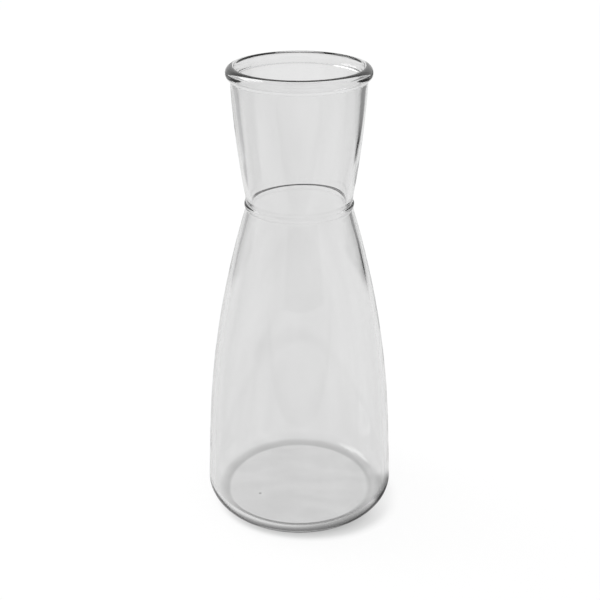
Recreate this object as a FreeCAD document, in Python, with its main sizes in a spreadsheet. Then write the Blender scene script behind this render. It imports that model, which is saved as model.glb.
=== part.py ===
import FreeCAD, Part
import math
import os

import Sketcher

# A clear one-litre carafe, blown in one piece of glass: a body that narrows from a
# rounded heel to a waist, a thin ring round that waist, a neck that opens again, and
# a round bead as its lip. Millimetres, +Z up, origin at the middle of the underside.

SIZES = {
    # name: (value, what it is)
    "height": (250.0, "floor to the top of the lip"),
    "base_radius": (52.8, "outside of the body, at the top of the heel"),
    "heel_radius": (11.5, "rounding between the underside and the side"),
    "side_draft": (3.0, "lean of the lower side from the vertical, in degrees"),
    "side_height": (46.5, "height where the straight lower side ends"),
    "waist_radius": (27.4, "outside of the waist, under its ring"),
    "waist_height": (178.0, "height of the waist"),
    "neck_top_radius": (34.5, "outside of the neck, where the lip begins"),
    "neck_arc_radius": (500.0, "gentle swell of the neck's side"),
    "wall": (3.0, "thickness of the side, measured level"),
    "floor_thickness": (3.6, "thickness of the floor at its edge"),
    "inner_corner_radius": (8.5, "rounding inside, between floor and side"),
    "inner_waist_round": (16.0, "rounding of the waist, inside"),
    "ring_section_radius": (2.0, "section of the ring round the waist"),
    "ring_proud": (1.35, "how far the ring stands out of the waist"),
    "ring_fillet": (1.6, "rounding on both sides of the ring"),
    "lip_bead_radius": (3.5, "section of the lip's bead"),
    "lip_proud": (2.3, "how far the bead stands out of the neck"),
    "lip_fillet": (1.6, "rounding under the bead"),
    "lip_inner_round": (1.6, "rounding of the mouth's inner edge"),
    "mouth_margin": (2.0, "how far the cavity's cut runs past the lip"),
    "punt_radius": (38.0, "radius of the hollow under the base"),
    "punt_depth": (1.2, "rise of that hollow in the middle"),
}
VALUE = {name: number for name, (number, note) in SIZES.items()}


def make_sheet(doc):
    """The driving dimensions, one to a row: name, value, meaning."""
    sheet = doc.addObject("Spreadsheet::Sheet", "Sizes")
    for row, (name, (number, note)) in enumerate(SIZES.items(), start=1):
        sheet.set(f"A{row}", name)
        sheet.set(f"B{row}", str(number))
        sheet.set(f"C{row}", note)
        sheet.setAlias(f"B{row}", name)
    doc.recompute()
    return sheet


def measure(*terms):
    """Sizes added up, each with its sign: the number, and the formula that drives it."""
    number = 0.0
    formula = ""
    for term in terms:
        sign, name = ("-", term[1:]) if term.startswith("-") else ("+", term)
        number += float(sign + "1") * VALUE[name]
        formula += f" {sign} Sizes.{name}"
    return number, formula.removeprefix(" + ")


def new_sketch(body, name):
    """A sketch on the body's upright XZ plane: across is the radius, up is the height."""
    sketch = body.newObject("Sketcher::SketchObject", name)
    plane = next(item for item in body.Origin.OriginFeatures if item.Role == "XZ_Plane")
    sketch.AttachmentSupport = [(plane, "")]
    sketch.MapMode = "FlatFace"
    return sketch


def spot(radius, up):
    return FreeCAD.Vector(radius, up, 0)


def line(sketch, start, end):
    return sketch.addGeometry(Part.LineSegment(start, end), False)


def arc(sketch, centre, start, end):
    """An arc that runs anticlockwise from start to end."""
    first = math.atan2(start.y - centre.y, start.x - centre.x)
    last = math.atan2(end.y - centre.y, end.x - centre.x)
    circle = Part.Circle(centre, FreeCAD.Vector(0, 0, 1), (start - centre).Length)
    return sketch.addGeometry(Part.ArcOfCircle(circle, first, last), False)


START, END, CENTRE = 1, 2, 3
ORIGIN = (-1, 1)
UPRIGHT_AXIS = -2


def drive(sketch, name, kind, *places, size):
    """Adds one dimension with a name, driven by the sheet."""
    number, formula = size
    index = sketch.addConstraint(Sketcher.Constraint(kind, *places, number))
    sketch.renameConstraint(index, name)
    sketch.setExpression(f"Constraints.{name}", formula)


def tie(sketch, kind, *places):
    sketch.addConstraint(Sketcher.Constraint(kind, *places))


def lean_centre(low, lean, high):
    """Centre of the arc that leaves low along a side leaning inward, and meets high."""
    inward = spot(-math.cos(lean), -math.sin(lean))
    chord = high - low
    return low + inward * (chord.dot(chord) / (2 * chord.dot(inward)))


def chord_centre(low, high, radius):
    """Centre of the arc of this radius through both points, on the axis side."""
    chord = high - low
    side = spot(-chord.y, chord.x).normalize()
    rise = math.sqrt(radius**2 - (chord.Length / 2) ** 2)
    return (low + high) / 2 + side * rise


def half_outline(body, name, floor, corner, inset):
    """Half a section of the carafe, from the axis out and up, and back to the axis.

    floor is the height of its flat bottom, corner the rounding there and inset the size
    that it lies inside the outer surface by. Without an inset it ends in the lip's
    bead, and with one it runs on past the lip, so that it cuts the mouth open.
    """
    sketch = new_sketch(body, name)
    inside = [f"-{inset}"] if inset else []
    base = measure("base_radius", *inside)
    waist = measure("waist_radius", *inside)
    mouth = measure("neck_top_radius", *inside)
    bottom = measure(floor) if floor else (0.0, "0")
    rounding = measure(corner)
    lean = math.radians(VALUE["side_draft"])
    bead_out = measure("neck_top_radius", "lip_proud", "-lip_bead_radius")
    bead_up = measure("height", "-lip_bead_radius")
    bead_drop = math.sqrt(VALUE["lip_bead_radius"] ** 2 - (mouth[0] - bead_out[0]) ** 2)
    past_lip = measure("height", "mouth_margin")

    hub = spot(base[0] - rounding[0] * math.cos(lean), bottom[0] + rounding[0])
    foot = spot(hub.x, bottom[0])
    side_low = spot(base[0], hub.y + rounding[0] * math.sin(lean))
    side_run = VALUE["side_height"] - side_low.y
    side_high = spot(base[0] - math.tan(lean) * side_run, VALUE["side_height"])
    waist_spot = spot(waist[0], VALUE["waist_height"])
    mouth_spot = spot(mouth[0], past_lip[0] if inset else bead_up[0] - bead_drop)
    bead_centre = spot(bead_out[0], bead_up[0])
    crest = mouth_spot if inset else spot(bead_out[0], VALUE["height"])
    axis_low = spot(0, bottom[0])
    axis_high = spot(0, crest.y)

    flat = line(sketch, axis_low, foot)
    heel = arc(sketch, hub, foot, side_low)
    side = line(sketch, side_low, side_high)
    shoulder_centre = lean_centre(side_high, lean, waist_spot)
    shoulder = arc(sketch, shoulder_centre, side_high, waist_spot)
    neck_centre = chord_centre(waist_spot, mouth_spot, VALUE["neck_arc_radius"])
    neck = arc(sketch, neck_centre, waist_spot, mouth_spot)
    lid = line(sketch, crest, axis_high)
    axis = line(sketch, axis_high, axis_low)

    tie(sketch, "Tangent", flat, END, heel, START)
    tie(sketch, "Tangent", heel, END, side, START)
    tie(sketch, "Tangent", side, END, shoulder, START)
    tie(sketch, "Coincident", shoulder, END, neck, START)
    tie(sketch, "Coincident", lid, END, axis, START)
    tie(sketch, "Coincident", axis, END, flat, START)
    tie(sketch, "Horizontal", flat)
    tie(sketch, "Horizontal", lid)
    tie(sketch, "Vertical", axis)
    if floor:
        tie(sketch, "PointOnObject", flat, START, UPRIGHT_AXIS)
        drive(sketch, "floor_height", "DistanceY", *ORIGIN, flat, START, size=bottom)
    else:
        tie(sketch, "Coincident", flat, START, *ORIGIN)
    if inset:
        tie(sketch, "Coincident", neck, END, lid, START)
        drive(sketch, "past_lip", "DistanceY", *ORIGIN, neck, END, size=past_lip)
    else:
        bead = arc(sketch, bead_centre, mouth_spot, crest)
        tie(sketch, "Coincident", neck, END, bead, START)
        tie(sketch, "Tangent", bead, END, lid, START)
        drive(sketch, "bead_out", "DistanceX", *ORIGIN, bead, CENTRE, size=bead_out)
        drive(sketch, "bead_up", "DistanceY", *ORIGIN, bead, CENTRE, size=bead_up)
        drive(sketch, "bead", "Radius", bead, size=measure("lip_bead_radius"))

    draft = (math.pi / 2 + lean, "90 + Sizes.side_draft")
    drive(sketch, "corner", "Radius", heel, size=rounding)
    drive(sketch, "base", "DistanceX", *ORIGIN, side, START, size=base)
    drive(sketch, "draft", "Angle", side, size=draft)
    drive(sketch, "side_end", "DistanceY", *ORIGIN, side, END, size=measure("side_height"))
    drive(sketch, "waist", "DistanceX", *ORIGIN, neck, START, size=waist)
    drive(sketch, "waist_up", "DistanceY", *ORIGIN, neck, START, size=measure("waist_height"))
    drive(sketch, "mouth", "DistanceX", *ORIGIN, neck, END, size=mouth)
    drive(sketch, "swell", "Radius", neck, size=measure("neck_arc_radius"))
    return sketch


def ring_section(body):
    """The full circle that is the section of the ring round the waist."""
    sketch = new_sketch(body, "RingSection")
    out = measure("waist_radius", "ring_proud", "-ring_section_radius")
    up = measure("waist_height")
    section = measure("ring_section_radius")
    circle = Part.Circle(spot(out[0], up[0]), FreeCAD.Vector(0, 0, 1), section[0])
    ring = sketch.addGeometry(circle, False)
    drive(sketch, "out", "DistanceX", *ORIGIN, ring, CENTRE, size=out)
    drive(sketch, "up", "DistanceY", *ORIGIN, ring, CENTRE, size=up)
    drive(sketch, "section", "Radius", ring, size=section)
    return sketch


def punt_section(body):
    """Half the shallow dome that is hollowed out of the underside."""
    sketch = new_sketch(body, "PuntSection")
    edge = measure("punt_radius")
    rise = measure("punt_depth")
    dome_radius = (edge[0] ** 2 + rise[0] ** 2) / (2 * rise[0])
    crown = spot(0, rise[0])
    rim = spot(edge[0], 0)
    flat = line(sketch, spot(0, 0), rim)
    dome = arc(sketch, spot(0, rise[0] - dome_radius), rim, crown)
    axis = line(sketch, crown, spot(0, 0))
    tie(sketch, "Coincident", flat, START, *ORIGIN)
    tie(sketch, "Coincident", flat, END, dome, START)
    tie(sketch, "Coincident", dome, END, axis, START)
    tie(sketch, "Coincident", axis, END, flat, START)
    tie(sketch, "Horizontal", flat)
    tie(sketch, "Vertical", axis)
    tie(sketch, "PointOnObject", dome, CENTRE, UPRIGHT_AXIS)
    drive(sketch, "edge", "DistanceX", *ORIGIN, dome, START, size=edge)
    drive(sketch, "rise", "DistanceY", *ORIGIN, dome, END, size=rise)
    return sketch


def turn(body, kind, name, sketch):
    """A full turn of a sketch about its upright axis, as a Revolution or a Groove."""
    feature = body.newObject(f"PartDesign::{kind}", name)
    feature.Profile = sketch
    feature.ReferenceAxis = (sketch, ["V_Axis"])
    feature.Angle = 360.0
    body.Document.recompute()
    return feature


def hoops(shape, low, high, inner, outer):
    """Names of the level closed edges between two heights and two radii."""
    names = []
    for number, edge in enumerate(shape.Edges, start=1):
        if edge.Degenerated or not edge.isClosed():
            continue
        point = edge.Vertexes[0].Point
        radius = math.hypot(point.x, point.y)
        if low < point.z < high and inner < radius < outer:
            names.append(f"Edge{number}")
    return names


def soften(body, name, size, count, low, high, inner, outer):
    """Rounds the level edges in one band of the glass; count says how many there are."""
    before = body.Tip
    edges = hoops(before.Shape, low, high, inner, outer)
    if len(edges) != count:
        raise RuntimeError(f"{name}: {len(edges)} edges found instead of {count}")
    fillet = body.newObject("PartDesign::Fillet", name)
    fillet.Base = (before, edges)
    fillet.Radius = VALUE[size]
    fillet.setExpression("Radius", f"Sizes.{size}")
    body.Document.recompute()
    return fillet


def shape_glass(body):
    """The outer form with its lip and ring, then the space inside and the punt."""
    outer = half_outline(body, "OuterOutline", None, "heel_radius", None)
    turn(body, "Revolution", "OuterForm", outer)
    turn(body, "Revolution", "WaistRing", ring_section(body))
    filled = body.Tip.Shape.Volume
    inner = half_outline(body, "CavityOutline", "floor_thickness",
                         "inner_corner_radius", "wall")
    turn(body, "Groove", "Cavity", inner)
    hollow = body.Tip.Shape.Volume
    turn(body, "Groove", "Punt", punt_section(body))
    if not body.Tip.Shape.Volume < hollow < filled / 2:
        raise RuntimeError("the cavity or the punt cut nothing")


def round_edges(body):
    """Glass has no sharp edge: each meeting of two surfaces is rounded."""
    wall = VALUE["wall"]
    waist = VALUE["waist_height"]
    reach = VALUE["ring_section_radius"]
    waist_middle = VALUE["waist_radius"] - wall / 2
    ring_outside = VALUE["waist_radius"] + VALUE["ring_proud"]
    soften(body, "RingRounds", "ring_fillet", 2,
           waist - reach, waist + reach, waist_middle, ring_outside)
    soften(body, "InnerWaistRound", "inner_waist_round", 1,
           waist - reach, waist + reach, waist_middle - wall, waist_middle)

    lip_middle = VALUE["height"] - VALUE["lip_bead_radius"]
    lip_low = lip_middle - VALUE["lip_bead_radius"]
    above = VALUE["height"] + VALUE["mouth_margin"]
    neck = VALUE["neck_top_radius"]
    lip_outside = neck + VALUE["lip_proud"]
    bead_centre = lip_outside - VALUE["lip_bead_radius"]
    mouth_limit = (bead_centre + neck - wall) / 2
    soften(body, "LipUnderside", "lip_fillet", 1,
           lip_low, lip_middle, neck - wall / 2, lip_outside)
    soften(body, "MouthRound", "lip_inner_round", 1,
           lip_middle, above, neck / 2, mouth_limit)


def make_carafe(doc):
    body = doc.addObject("PartDesign::Body", "Carafe")
    body.Label = "carafe"
    body.Placement = FreeCAD.Placement()
    shape_glass(body)
    round_edges(body)
    return body


def check(doc, bodies):
    """Stops before anything is written if an object failed or a shape is unsound."""
    for item in doc.Objects:
        if "Invalid" in item.State or "Error" in item.State:
            raise RuntimeError(f"{item.Name}: {item.State}")
    for body in bodies:
        shape = body.Shape
        if shape.isNull() or not shape.isValid() or len(shape.Solids) != 1:
            raise RuntimeError(f"{body.Label}: not one sound solid")
        print(f"{body.Label}: {shape.Volume / 1000:.1f} cm3 of glass")


def write(bodies):
    os.makedirs("parts", exist_ok=True)
    for body in bodies:
        body.Shape.exportStep(f"parts/{body.Label}.step")


def main():
    doc = FreeCAD.newDocument("CarafeModel")
    make_sheet(doc)
    bodies = [make_carafe(doc)]
    doc.recompute()
    check(doc, bodies)
    write(bodies)


main()
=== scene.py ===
"""Looks of the clear glass carafe: the glass as a finely turned mesh, studio and camera."""
import math

import bpy
import numpy as np
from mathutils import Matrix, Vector


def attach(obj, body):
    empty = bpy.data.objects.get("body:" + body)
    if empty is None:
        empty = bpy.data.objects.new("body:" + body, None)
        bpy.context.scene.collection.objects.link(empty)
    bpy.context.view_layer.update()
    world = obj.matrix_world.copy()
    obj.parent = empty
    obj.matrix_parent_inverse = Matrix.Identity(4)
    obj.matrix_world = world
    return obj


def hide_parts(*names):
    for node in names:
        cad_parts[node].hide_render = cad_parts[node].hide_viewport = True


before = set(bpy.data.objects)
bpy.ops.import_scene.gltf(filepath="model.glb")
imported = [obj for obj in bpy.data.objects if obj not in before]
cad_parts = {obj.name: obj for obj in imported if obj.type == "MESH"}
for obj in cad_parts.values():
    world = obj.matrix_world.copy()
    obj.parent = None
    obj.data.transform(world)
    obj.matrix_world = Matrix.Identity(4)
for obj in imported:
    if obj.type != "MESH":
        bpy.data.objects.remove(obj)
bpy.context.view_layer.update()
MM = 0.001

# ---- the turned section, in millimetres, as in the solid ----
# A spot is (distance from the axis, height), and a circle is (its middle, its radius).

AROUND = 288          # points round the carafe
STEP = 2.4            # spacing along the long sides
FINEST = 0.25         # the least spacing on a round
TURN = 6.0            # degrees from point to point on the small rounds
FEWEST = 3            # steps on any round, at least
SAME = 0.001          # spots nearer than this are one
MOUTH_POINTS = 23     # points down the opening of the bore

HEEL = ((41.316, 11.5), 11.5)
SHOULDER = ((-483.226, 18.503), 534.956)
RING = ((26.75, 178.0), 2.0)
NECK = ((-465.042, 264.607), 500.0)
BEAD = ((33.3, 246.5), 3.5)
INNER_NECK = ((-468.387, 262.622), 500.0)
INNER_SHOULDER = ((-485.494, 18.540), 534.247)
INNER_CORNER = ((41.312, 12.1), 8.5)
PUNT = ((0.0, -601.067), 602.267)
STAND = (38.0, 0.0)      # where the punt ends and the carafe stands
DRAFT = 3.0              # degrees by which the side leans where it leaves the heel
RING_ROUND, LIP_ROUND, WAIST_ROUND = 1.6, 1.6, 16.0
TOP, MOUTH_LOW, FLOOR = 250.0, 245.0, 3.6
BELOW_RING, ABOVE_RING = (30.0, 170.0), (30.0, 186.0)      # about where the rounds lie
BELOW_BEAD, IN_WAIST = (36.0, 240.0), (29.0, 178.0)
BORE_SHIFT = 0.4         # how far the bore of the neck lies off the middle
SHIFT_BEGINS, SHIFT_ENDS = (186, 206), (212, 246)      # between these heights

# ---- the glass ----

TINT = (0.90, 0.955)             # darkest and lightest streak of its faint grey
TINT_SPAN = (0.35, 0.65)         # and the part of the noise that they spread over
STREAKS = (30.0, 90.0, 6.0)      # how often the tint changes along each axis, per metre
SPECK = (-0.0227, -0.0120, 0.0036)
SPECK_EDGE, SPECK_TINT = (0.0005, 0.0011), 0.27
WAVE, WAVE_SCALE = 0.00006, 55.0
HAZE, HAZE_SCALE, HAZE_SPAN = 0.012, 400.0, (0.35, 0.75)
GLASS_IOR = 1.5
GLASS_KEEPS, GLASS_DENSITY = 0.5, 8.0      # what thick glass lets through

# ---- studio, in metres; a pair of numbers is where a change begins and ends ----
# To what the glass mirrors and bends, the white surroundings are a little grey.

SEEN_GREY = 0.84
LEAST = 0.001                              # keeps a division sound on the axis
SHEET_SPREAD, SHEET_HALF = 0.26, 0.20      # how the white sheet widens, and its half-width
SHEET_SOFT = 0.08                          # the softness of its sides
RIGHT_NEAR, RIGHT_FAR, LEFT_SHADE = 0.0, 0.35, 0.62      # the light kept beyond them
SIDES_BEHIND, SIDES_AWAY = (0.30, 0.40), (0.60, 0.80)
FOLD_FRONT, FOLD_BOW, FOLD_ROUND = 0.237, 0.9, 0.12      # the fold's place and its curve
FOLD_DARK, FOLD_EDGE, FOLD_FADE = 0.55, 0.01, 0.15
HEEL_SIDE = (0.994, -0.11)                 # where the foot's shade, painted on the table, lies
HEEL_INNER, HEEL_OUTER = (0.044, 0.052), (0.062, 0.072)
HEEL_FACING, HEEL_PAINTED_SHADE = (0.93, 0.985), 0.65

# A contact shadow painted into the table's colour round the foot.
PAINTED_SHADOW_STOPS = ((0.0, 1.0), (40.5, 1.0), (42.0, 0.45), (44.5, 0.52), (46.0, 0.62), (48.0, 0.74),
           (50.0, 0.93), (51.5, 1.0), (70.0, 1.0))      # mm from the axis, light kept under the painted contact shadow
FOOT = 0.042                               # the edge of what stands on the table
SHADOW_SIDE, SHADOW_FOCUS = (0.866, -0.5), 3.0      # where that painted shadow is widest
CONTACT_BEHIND = 0.33                      # its strength behind the foot
CONTACT_FADE = (-0.042, -0.012)

FLOOR_REACH, FLOOR_BELOW = 6.0, 0.00005
PAPER = 0.8                                # the paper, to the light that it scatters
PAPER_OWN, UNDER_OWN = 0.90, 0.86          # white that no shadow takes, open and under; less under the carafe as a painted shade
UNDER_EDGE = (0.039, 0.044)

SKY_LOW, SKY_HIGH, SKY_DARK = 0.42, 0.71, 0.6
CARD_SIDE = (0.134, -0.991)                # where a dark card stands, far in front
CARD_FACING, CARD_TOP, CARD_DARK = (0.84, 0.89), (0.24, 0.28), 0.8
LEAST_LEVEL = 0.01

LAMP_PLACE, LAMP_AIM = (-1.1, 0.5, 1.4), (0, 0, 0.12)
LAMP_SIZE, LAMP_POWER = 0.9, 9.0
CAMERA_PLACE, CAMERA_DOWN = (0.0004, -0.5181, 0.3644), 25.10      # degrees downward
LENS, SENSOR = 62.87, 36.0


# ---- the section ----

def meet(one, other, near):
    """Where two circles cross, at the crossing that lies nearer to a spot."""
    (ax, ay), ra = one
    (bx, by), rb = other
    gap = math.hypot(bx - ax, by - ay)
    along = (ra**2 - rb**2 + gap**2) / (2 * gap)
    side = math.sqrt(ra**2 - along**2)
    ux, uy = (bx - ax) / gap, (by - ay) / gap
    spots = [(ax + along * ux - s * uy, ay + along * uy + s * ux) for s in (side, -side)]
    return min(spots, key=lambda spot: math.dist(spot, near))


def touching(one, other, more, near):
    """The middle of a round of radius more that touches two circles from outside."""
    return meet((one[0], one[1] + more), (other[0], other[1] + more), near)


def angle(centre, spot):
    """The direction of a spot from a circle's middle, in degrees."""
    return math.degrees(math.atan2(spot[1] - centre[1], spot[0] - centre[0]))


def arc(circle, start, end):
    """Points on a circle from one angle to the next, both included."""
    (cx, cy), radius = circle
    length = math.radians(abs(end - start)) * radius
    wanted = max(abs(end - start) / TURN, length / STEP)
    count = max(FEWEST, round(min(length / FINEST, wanted)))
    turn = np.radians(np.linspace(start, end, count + 1))
    return np.stack([cx + radius * np.cos(turn), cy + radius * np.sin(turn)], 1)


def rounding(centre, radius, before, after):
    """The hollow round that leads from one circle to the next."""
    return arc((centre, radius), angle(centre, before[0]) % 360, angle(centre, after[0]) % 360)


def mouth_rows(lip_fillet):
    """The bead up to its crest, and the bore that opens towards it in a quarter of an
    ellipse; with the angle at which the neck's inner side begins."""
    centre, reach = INNER_NECK
    bore = centre[0] + math.sqrt(reach**2 - (MOUTH_LOW - centre[1]) ** 2)
    turn = np.radians(np.linspace(90, 180, MOUTH_POINTS))
    crest = BEAD[0][0]
    opening = np.stack([crest + (crest - bore) * np.cos(turn),
                        MOUTH_LOW + (TOP - MOUTH_LOW) * np.sin(turn)], 1)
    bead = arc(BEAD, angle(BEAD[0], lip_fillet), 90)
    return [bead, opening], angle(centre, (bore, MOUTH_LOW))


def joined(parts):
    """Runs one part on into the next, with points along the straight stretches."""
    rows = [parts[0]]
    for part in parts[1:]:
        start, end = rows[-1][-1], part[0]
        gap = np.linalg.norm(end - start)
        if gap > STEP:
            mix = np.linspace(0, 1, math.ceil(gap / STEP) + 1)[1:-1, None]
            rows.append(start + (end - start) * mix)
        rows.append(part if gap > SAME else part[1:])
    return np.concatenate(rows)


def section():
    """The whole section, from the middle of the underside up and back down inside."""
    low_fillet = touching(SHOULDER, RING, RING_ROUND, BELOW_RING)
    high_fillet = touching(NECK, RING, RING_ROUND, ABOVE_RING)
    lip_fillet = touching(NECK, BEAD, LIP_ROUND, BELOW_BEAD)
    waist_round = touching(INNER_NECK, INNER_SHOULDER, WAIST_ROUND, IN_WAIST)
    mouth, mouth_end = mouth_rows(lip_fillet)
    return joined([
        arc(PUNT, 90, angle(PUNT[0], STAND)),
        arc(HEEL, -90, DRAFT),
        arc(SHOULDER, DRAFT, angle(SHOULDER[0], low_fillet)),
        rounding(low_fillet, RING_ROUND, SHOULDER, RING),
        arc(RING, angle(RING[0], low_fillet), angle(RING[0], high_fillet)),
        rounding(high_fillet, RING_ROUND, RING, NECK),
        arc(NECK, angle(NECK[0], high_fillet), angle(NECK[0], lip_fillet)),
        rounding(lip_fillet, LIP_ROUND, NECK, BEAD),
        *mouth,
        arc(INNER_NECK, mouth_end, angle(INNER_NECK[0], waist_round)),
        rounding(waist_round, WAIST_ROUND, INNER_NECK, INNER_SHOULDER),
        arc(INNER_SHOULDER, angle(INNER_SHOULDER[0], waist_round), DRAFT),
        arc(INNER_CORNER, DRAFT, -90),
        np.array([[0.0, FLOOR]]),
    ])


# ---- the mesh ----

def smooth(value, low, high):
    """A soft step from 0 to 1 between two places."""
    part = np.clip((value - low) / (high - low), 0, 1)
    return part * part * (3 - 2 * part)


def bore_shift(up):
    """How far the bore lies to +X of the middle: blown glass is never quite even."""
    return BORE_SHIFT * (smooth(up, *SHIFT_BEGINS) - smooth(up, *SHIFT_ENDS))


def turned(across, up):
    """Pairs of the section carried round +Z, as (row, point, axis)."""
    turn = np.linspace(0, 2 * math.pi, AROUND, endpoint=False)
    ring = np.stack([np.cos(turn), np.sin(turn)], 1)
    level = np.broadcast_to(up[:, None, None], (len(up), AROUND, 1))
    return np.concatenate([ring[None] * across[:, None, None], level], 2)


def turned_faces(count):
    """Four-sided faces between the rows, and a fan of triangles at each middle."""
    here = np.arange(AROUND)
    after = (here + 1) % AROUND
    faces = []
    for row in range(count - 1):
        low, high = row * AROUND, (row + 1) * AROUND
        faces += np.stack([low + here, low + after, high + after, high + here], 1).tolist()
    underside, floor = count * AROUND, count * AROUND + 1
    last = (count - 1) * AROUND
    faces += [[underside, int(b), int(a)] for a, b in zip(here, after)]
    faces += [[last + int(a), last + int(b), floor] for a, b in zip(here, after)]
    return faces


def turned_mesh(name):
    """The section turned round +Z, with its true normals and the bore off centre."""
    rows = section()
    run = np.concatenate([[0.0], np.cumsum(np.linalg.norm(np.diff(rows, axis=0), axis=1))])
    slope = np.gradient(rows, run, axis=0)
    out = np.stack([slope[:, 1], -slope[:, 0]], 1)
    out[0], out[-1] = (0.0, -1.0), (0.0, 1.0)
    out /= np.linalg.norm(out, axis=1)[:, None]
    up = rows[1:-1, 1]
    points = turned(rows[1:-1, 0], up)
    normals = turned(out[1:-1, 0], out[1:-1, 1])
    inside = (np.arange(1, len(rows) - 1) > np.argmax(rows[:, 1]))[:, None]
    near = 0.05      # mm, to read the bore's lean from
    lean = (bore_shift(up + near) - bore_shift(up - near))[:, None] / (2 * near)
    points[:, :, 0] += inside * bore_shift(up)[:, None]
    normals[:, :, 2] -= inside * lean * normals[:, :, 0]
    normals /= np.linalg.norm(normals, axis=2, keepdims=True)
    middles = [[0, 0, rows[0, 1]], [0, 0, rows[-1, 1]]]
    points = np.concatenate([points.reshape(-1, 3), middles])
    normals = np.concatenate([normals.reshape(-1, 3), [[0, 0, -1], [0, 0, 1]]])
    mesh = bpy.data.meshes.new(name)
    mesh.from_pydata((points * MM).tolist(), [], turned_faces(len(up)))
    mesh.shade_smooth()
    mesh.normals_split_custom_set_from_vertices(normals.tolist())
    mesh.validate()
    return mesh


# ---- nodes ----

def node(tree, kind, **values):
    """A new node with some of its own settings."""
    made = tree.nodes.new(kind)
    for key, value in values.items():
        setattr(made, key, value)
    return made


def fresh(name):
    """A material with an empty node tree."""
    material = bpy.data.materials.new(name)
    material.use_nodes = True
    material.node_tree.nodes.clear()
    return material, material.node_tree


def noise(tree, place, scale, detail):
    """Soft noise at a place."""
    made = node(tree, "ShaderNodeTexNoise")
    tree.links.new(place, made.inputs["Vector"])
    made.inputs["Scale"].default_value = scale
    made.inputs["Detail"].default_value = detail
    return made.outputs["Fac"]


def math_node(tree, operation, first, second=None, third=None):
    """A Math node whose inputs are numbers or other nodes' outputs; gives its output."""
    made = node(tree, "ShaderNodeMath", operation=operation)
    for socket, value in zip(made.inputs, (first, second, third)):
        if isinstance(value, bpy.types.NodeSocket):
            tree.links.new(value, socket)
        elif value is not None:
            socket.default_value = value
    return made.outputs[0]


def ramp(tree, value, low, high, at_low, at_high):
    """A smooth change of a number between two places."""
    made = node(tree, "ShaderNodeMapRange", interpolation_type="SMOOTHSTEP")
    tree.links.new(value, made.inputs["Value"])
    names = ("From Min", "From Max", "To Min", "To Max")
    for name, number in zip(names, (low, high, at_low, at_high)):
        made.inputs[name].default_value = number
    return made.outputs["Result"]


def along(tree, x, y, side):
    """How far a place lies towards one side."""
    return math_node(tree, "MULTIPLY_ADD", x, side[0], math_node(tree, "MULTIPLY", y, side[1]))


def far_from(tree, x, y, wide=0.0):
    """How far a place lies from the axis; wide rounds the point of that cone off."""
    squares = math_node(tree, "MULTIPLY_ADD", x, x, math_node(tree, "MULTIPLY", y, y))
    return math_node(tree, "SQRT", math_node(tree, "ADD", squares, wide**2))


def profile(tree, value, stops):
    """A number that follows a list of stops along a value; the last stop is its reach."""
    made = node(tree, "ShaderNodeValToRGB")
    band = made.color_ramp.elements
    reach = stops[-1][0]
    for stop, _ in stops[1:-1]:
        band.new(stop / reach)
    for element, (stop, number) in zip(band, stops):
        element.position = stop / reach
        element.color = (number, number, number, 1)
    tree.links.new(math_node(tree, "MULTIPLY", value, 1 / (reach * MM)), made.inputs[0])
    return made.outputs["Color"]


def ray_kinds(tree):
    """The kinds of ray, and whether it is one that the glass mirrors or bends."""
    rays = node(tree, "ShaderNodeLightPath").outputs
    return rays, math_node(tree, "MAXIMUM", rays["Is Glossy Ray"], rays["Is Transmission Ray"])


# ---- the glass ----

def glass_material():
    """Clear glass with a faint waviness, a trace of haze and one speck on its floor."""
    material, tree = fresh("clear_glass_look")
    out = node(tree, "ShaderNodeOutputMaterial")
    glass = node(tree, "ShaderNodeBsdfPrincipled")
    place = node(tree, "ShaderNodeTexCoord").outputs["Object"]
    speck = node(tree, "ShaderNodeVectorMath", operation="DISTANCE")
    tree.links.new(place, speck.inputs[0])
    speck.inputs[1].default_value = SPECK
    stretched = node(tree, "ShaderNodeVectorMath", operation="MULTIPLY")
    tree.links.new(place, stretched.inputs[0])
    stretched.inputs[1].default_value = STREAKS
    tint = ramp(tree, noise(tree, stretched.outputs[0], 1.0, 2.0), *TINT_SPAN, *TINT)
    spot = ramp(tree, speck.outputs["Value"], *SPECK_EDGE, SPECK_TINT, 1.0)
    tree.links.new(math_node(tree, "MULTIPLY", tint, spot), glass.inputs["Base Color"])
    wave = node(tree, "ShaderNodeBump")
    wave.inputs["Strength"].default_value = 1.0
    wave.inputs["Distance"].default_value = WAVE
    tree.links.new(noise(tree, place, WAVE_SCALE, 1.0), wave.inputs["Height"])
    tree.links.new(wave.outputs[0], glass.inputs["Normal"])
    haze = ramp(tree, noise(tree, place, HAZE_SCALE, 3.0), *HAZE_SPAN, 0.0, HAZE)
    tree.links.new(haze, glass.inputs["Roughness"])
    glass.inputs["Transmission Weight"].default_value = 1.0
    glass.inputs["IOR"].default_value = GLASS_IOR
    tree.links.new(glass.outputs[0], out.inputs["Surface"])
    volume = node(tree, "ShaderNodeVolumeAbsorption")
    volume.inputs["Color"].default_value = (GLASS_KEEPS, GLASS_KEEPS, GLASS_KEEPS, 1)
    volume.inputs["Density"].default_value = GLASS_DENSITY
    tree.links.new(volume.outputs[0], out.inputs["Volume"])
    return material


def make_carafe():
    """The one piece: the whole carafe."""
    piece = bpy.data.objects.new("carafe_glass", turned_mesh("carafe_glass"))
    bpy.context.collection.objects.link(piece)
    piece.data.materials.append(glass_material())
    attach(piece, "root")
    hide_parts("carafe")


# ---- the studio ----

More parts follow.
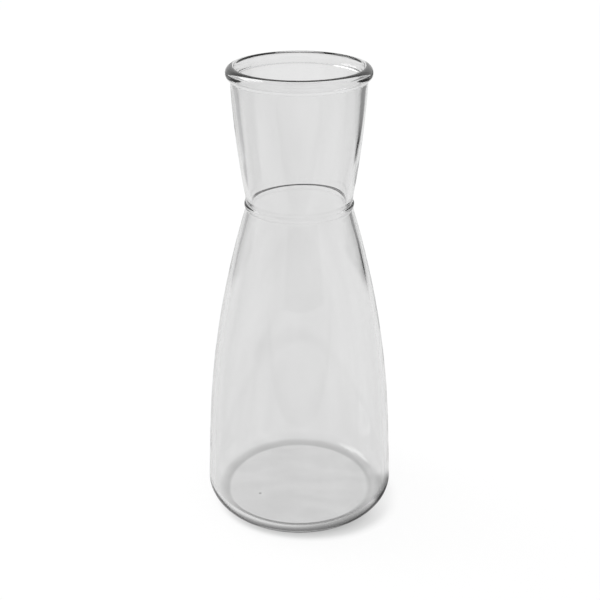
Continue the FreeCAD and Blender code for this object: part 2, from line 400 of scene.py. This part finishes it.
def surroundings(tree, x, y, mirrored):
    """How light the table is for what the glass mirrors and bends: white behind the carafe and
    round it, darker beyond the sheet's two sides, with a shade painted beside the foot, and
    with a soft fold in front that is only mirrored."""
    away = far_from(tree, x, y)
    edge = math_node(tree, "MULTIPLY_ADD", y, SHEET_SPREAD, SHEET_HALF)
    behind = ramp(tree, y, *SIDES_BEHIND, 0.0, 1.0)
    right = ramp(tree, math_node(tree, "SUBTRACT", x, edge), 0.0, SHEET_SOFT, 0.0, 1.0)
    left = ramp(tree, math_node(tree, "SUBTRACT", math_node(tree, "MULTIPLY", x, -1.0), edge),
                0.0, SHEET_SOFT, 0.0, 1.0 - LEFT_SHADE)
    dark = ramp(tree, away, *SIDES_AWAY, 1.0 - RIGHT_NEAR, 1.0 - RIGHT_FAR)
    sides = math_node(tree, "MULTIPLY_ADD", right, dark, left)
    kept = math_node(tree, "SUBTRACT", 1.0, math_node(tree, "MULTIPLY", sides, behind))

    # a shade painted on the table beside the foot, on one side, that only the glass mirrors
    # and bends
    near = math_node(tree, "MULTIPLY", ramp(tree, away, *HEEL_INNER, 0.0, 1.0),
                     ramp(tree, away, *HEEL_OUTER, 1.0, 0.0))
    facing = math_node(tree, "DIVIDE", along(tree, x, y, HEEL_SIDE),
                       math_node(tree, "MAXIMUM", away, LEAST))
    heel = math_node(tree, "MULTIPLY", near, ramp(tree, facing, *HEEL_FACING, 0.0, HEEL_PAINTED_SHADE))
    kept = math_node(tree, "MULTIPLY", kept, math_node(tree, "SUBTRACT", 1.0, heel))

    bend = math_node(tree, "MULTIPLY_ADD", far_from(tree, x, 0.0, FOLD_ROUND), FOLD_BOW,
                     FOLD_FRONT - FOLD_BOW * FOLD_ROUND)
    past = math_node(tree, "SUBTRACT", math_node(tree, "MULTIPLY", y, -1.0), bend)
    fold = math_node(tree, "MULTIPLY", ramp(tree, past, -FOLD_EDGE, 0.0, 0.0, FOLD_DARK),
                     ramp(tree, past, 0.0, FOLD_FADE, 1.0, 0.0))
    fold = math_node(tree, "MULTIPLY", fold, mirrored)
    return math_node(tree, "MULTIPLY", kept, math_node(tree, "SUBTRACT", 1.0, fold))


def painted_contact_shadow(tree, x, y):
    """The light that the table keeps close to the foot, in a thin contact shadow painted all
    round it that is widest on one side."""
    away = math_node(tree, "MAXIMUM", far_from(tree, x, y), LEAST)
    facing = math_node(tree, "DIVIDE", along(tree, x, y, SHADOW_SIDE), away)
    width = math_node(tree, "ADD", 1.0, math_node(
        tree, "POWER", math_node(tree, "MAXIMUM", facing, 0.0), SHADOW_FOCUS))
    past = math_node(tree, "DIVIDE", math_node(tree, "SUBTRACT", away, FOOT), width)
    lost = math_node(tree, "SUBTRACT", 1.0, profile(
        tree, math_node(tree, "ADD", past, FOOT), PAINTED_SHADOW_STOPS))
    strength = ramp(tree, y, *CONTACT_FADE, 1.0, CONTACT_BEHIND)
    return math_node(tree, "SUBTRACT", 1.0, math_node(tree, "MULTIPLY", lost, strength))


def floor_material():
    """White paper: partly lit by the studio, partly white of its own, so that it is white to
    the camera and keeps the carafe's traced shadow; a contact shadow round the foot and a
    slight shade under the carafe are painted into its colour."""
    material, tree = fresh("floor_look")
    out = node(tree, "ShaderNodeOutputMaterial")
    place = node(tree, "ShaderNodeSeparateXYZ")
    tree.links.new(node(tree, "ShaderNodeNewGeometry").outputs["Position"], place.inputs[0])
    x, y = place.outputs["X"], place.outputs["Y"]
    rays, seen = ray_kinds(tree)
    # the painted contact shadow, which darkens the paper for every kind of ray
    foot = painted_contact_shadow(tree, x, y)
    shade = math_node(tree, "MULTIPLY", surroundings(tree, x, y, rays["Is Reflection Ray"]),
                      math_node(tree, "MULTIPLY", foot, SEEN_GREY))
    tint = math_node(tree, "MULTIPLY", foot, math_node(
        tree, "MULTIPLY_ADD", seen, math_node(tree, "SUBTRACT", shade, 1.0), 1.0))
    lit = math_node(tree, "MAXIMUM", rays["Is Camera Ray"], seen)
    paper = node(tree, "ShaderNodeBsdfDiffuse")
    share = math_node(tree, "MULTIPLY_ADD", lit, 1.0 - PAPER_OWN - PAPER, PAPER)
    tree.links.new(math_node(tree, "MULTIPLY", share, tint), paper.inputs["Color"])
    glow = node(tree, "ShaderNodeEmission")
    # the paper's own white is a little less under the carafe: a painted shade under it
    own = ramp(tree, far_from(tree, x, y), *UNDER_EDGE, UNDER_OWN, PAPER_OWN)
    tree.links.new(math_node(tree, "MULTIPLY", math_node(tree, "MULTIPLY", lit, own), tint),
                   glow.inputs["Strength"])
    both = node(tree, "ShaderNodeAddShader")
    tree.links.new(paper.outputs[0], both.inputs[0])
    tree.links.new(glow.outputs[0], both.inputs[1])
    tree.links.new(both.outputs[0], out.inputs["Surface"])
    return material


def make_floor():
    """The table, as one large sheet just below the carafe."""
    reach = FLOOR_REACH
    mesh = bpy.data.meshes.new("floor")
    mesh.from_pydata([(-reach, -reach, 0), (reach, -reach, 0), (reach, reach, 0),
                      (-reach, reach, 0)], [], [(0, 1, 2, 3)])
    floor = bpy.data.objects.new("floor", mesh)
    bpy.context.collection.objects.link(floor)
    floor.location.z = -FLOOR_BELOW
    floor.data.materials.append(floor_material())


def make_world():
    """A white studio; to what the glass mirrors and bends it is darker overhead, and to
    what it mirrors a dark card stands low in front."""
    world = bpy.data.worlds.new("studio")
    world.use_nodes = True
    tree = world.node_tree
    tree.nodes.clear()
    out = node(tree, "ShaderNodeOutputWorld")
    place = node(tree, "ShaderNodeSeparateXYZ")
    tree.links.new(node(tree, "ShaderNodeTexCoord").outputs["Generated"], place.inputs[0])
    x, y, z = (place.outputs[name] for name in "XYZ")
    rays, seen = ray_kinds(tree)
    level = math_node(tree, "MAXIMUM", far_from(tree, x, y), LEAST_LEVEL)
    facing = math_node(tree, "DIVIDE", along(tree, x, y, CARD_SIDE), level)
    card = math_node(tree, "MULTIPLY", ramp(tree, facing, *CARD_FACING, 0.0, CARD_DARK),
                     ramp(tree, z, *CARD_TOP, 1.0, 0.0))
    card = math_node(tree, "MULTIPLY", card, rays["Is Reflection Ray"])
    shade = math_node(tree, "MULTIPLY", ramp(tree, z, SKY_LOW, SKY_HIGH, SEEN_GREY, SKY_DARK),
                      math_node(tree, "SUBTRACT", 1.0, card))
    sky = node(tree, "ShaderNodeBackground")
    sky.inputs["Color"].default_value = (1, 1, 1, 1)
    tree.links.new(math_node(tree, "MULTIPLY_ADD", seen, math_node(
        tree, "SUBTRACT", shade, 1.0), 1.0), sky.inputs["Strength"])
    tree.links.new(sky.outputs[0], out.inputs["Surface"])
    bpy.context.scene.world = world


def make_lamp():
    """A square softbox on the left that points at the middle of the carafe."""
    lamp = bpy.data.lights.new("softbox_left", "AREA")
    lamp.size = LAMP_SIZE
    lamp.energy = LAMP_POWER
    holder = bpy.data.objects.new("softbox_left", lamp)
    holder.location = LAMP_PLACE
    aim = Vector(LAMP_AIM) - Vector(LAMP_PLACE)
    holder.rotation_euler = aim.to_track_quat("-Z", "Y").to_euler()
    bpy.context.collection.objects.link(holder)


def make_camera():
    """The camera, in front and a little above, looking down at the carafe."""
    camera = bpy.data.cameras.new("camera")
    camera.sensor_width = SENSOR
    camera.lens = LENS
    holder = bpy.data.objects.new("camera", camera)
    holder.location = CAMERA_PLACE
    holder.rotation_euler = (math.radians(90 - CAMERA_DOWN), 0, 0)
    bpy.context.collection.objects.link(holder)
    bpy.context.scene.camera = holder


bpy.context.scene.view_settings.view_transform = "Standard"
make_carafe()
make_floor()
make_world()
make_lamp()
make_camera()
